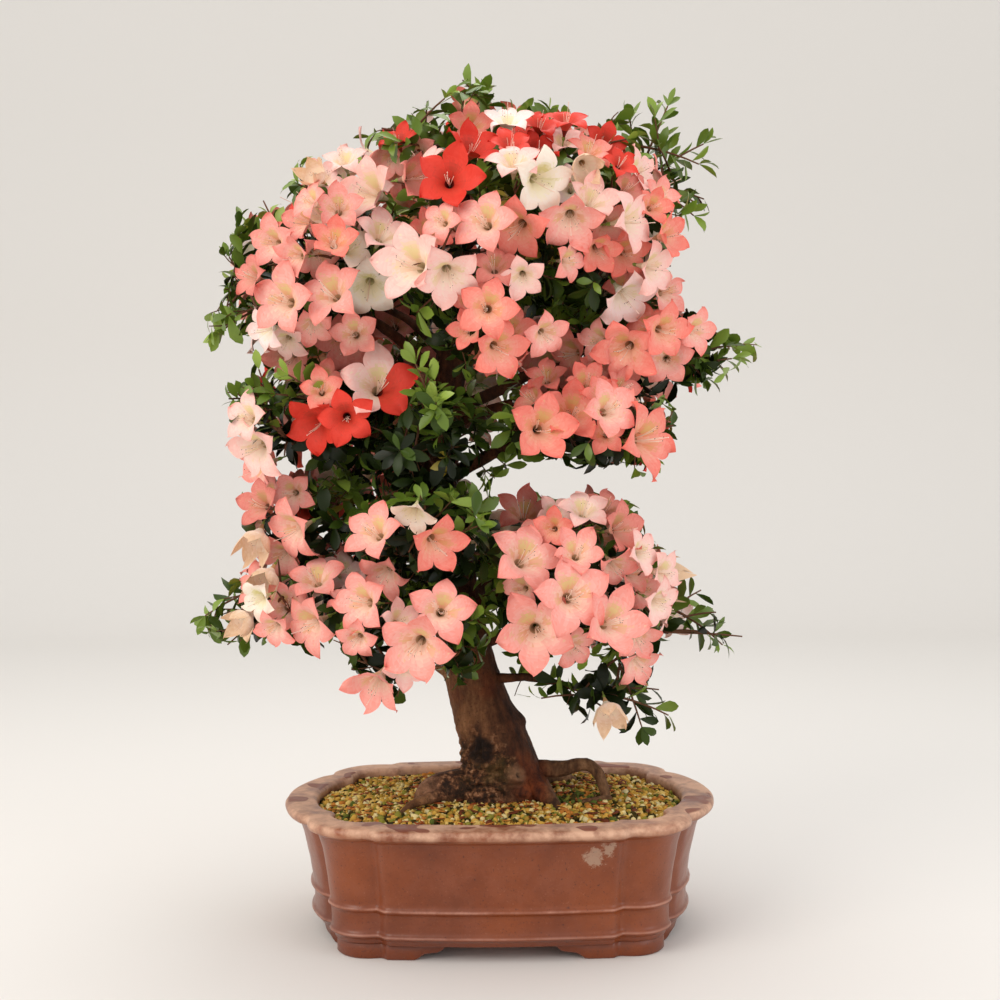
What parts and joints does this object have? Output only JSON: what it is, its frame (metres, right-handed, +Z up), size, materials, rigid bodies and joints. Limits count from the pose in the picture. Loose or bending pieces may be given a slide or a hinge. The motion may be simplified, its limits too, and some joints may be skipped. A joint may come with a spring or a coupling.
{
  "type": "azalea bonsai",
  "caption": "Flowering azalea bonsai: tapering leaning trunk with root flare, boughs and leafy blooming masses, in a lobed clay pot filled with gritty soil.",
  "frame": {"origin": "bottom centre of the whole plant's box, on the plane that the pot's four feet stand on", "axes": "+Z up the trunk, -Y towards the front of the pot, +X to the right as seen from the front, along the pot's long side"},
  "size_m": [0.525, 0.3916, 0.7946],
  "materials": {
    "pot": "satin",
    "soil": "matte",
    "bark": "matte",
    "foliage": "satin",
    "blossom": "matte"
  },
  "bodies": {
    "root": {"pot": "pot", "soil": "soil", "trunk": "bark", "surface_root_right": "bark", "surface_root_left": "bark", "bough_top_right": "bark", "bough_top_right_spray": "bark", "bough_shoulder_left_front": "bark", "bough_shoulder_left_back": "bark", "bough_front_upper": "bark", "bough_shoulder_right_front": "bark", "bough_shoulder_right_back": "bark", "bough_back_upper": "bark", "bough_mid_right_front": "bark", "bough_mid_right_low": "bark", "bough_mid_right_back": "bark", "bough_mid_left_front": "bark", "bough_inner_front": "bark", "bough_back_mid": "bark", "bough_low_mid_left": "bark", "bough_low_centre_front": "bark", "bough_low_left": "bark", "bough_low_centre_left": "bark", "bough_low_right_front": "bark", "bough_low_right_outer": "bark", "bough_low_right_under": "bark", "bough_low_back_right": "bark", "bough_low_back_left": "bark", "foliage_apex": "foliage", "foliage_top_right": "foliage", "foliage_top_right_spray": "foliage", "foliage_shoulder_left_front": "foliage", "foliage_shoulder_left_back": "foliage", "foliage_front_upper": "foliage", "foliage_shoulder_right_front": "foliage", "foliage_shoulder_right_back": "foliage", "foliage_back_upper": "foliage", "foliage_mid_right_front": "foliage", "foliage_mid_right_low": "foliage", "foliage_mid_right_back": "foliage", "foliage_mid_left_front": "foliage", "foliage_inner_front": "foliage", "foliage_back_mid": "foliage", "foliage_low_mid_left": "foliage", "foliage_low_centre_front": "foliage", "foliage_low_left": "foliage", "foliage_low_centre_left": "foliage", "foliage_low_right_front": "foliage", "foliage_low_right_outer": "foliage", "foliage_low_right_under": "foliage", "foliage_low_back_right": "foliage", "foliage_low_back_left": "foliage"}
  },
  "joints": []
}
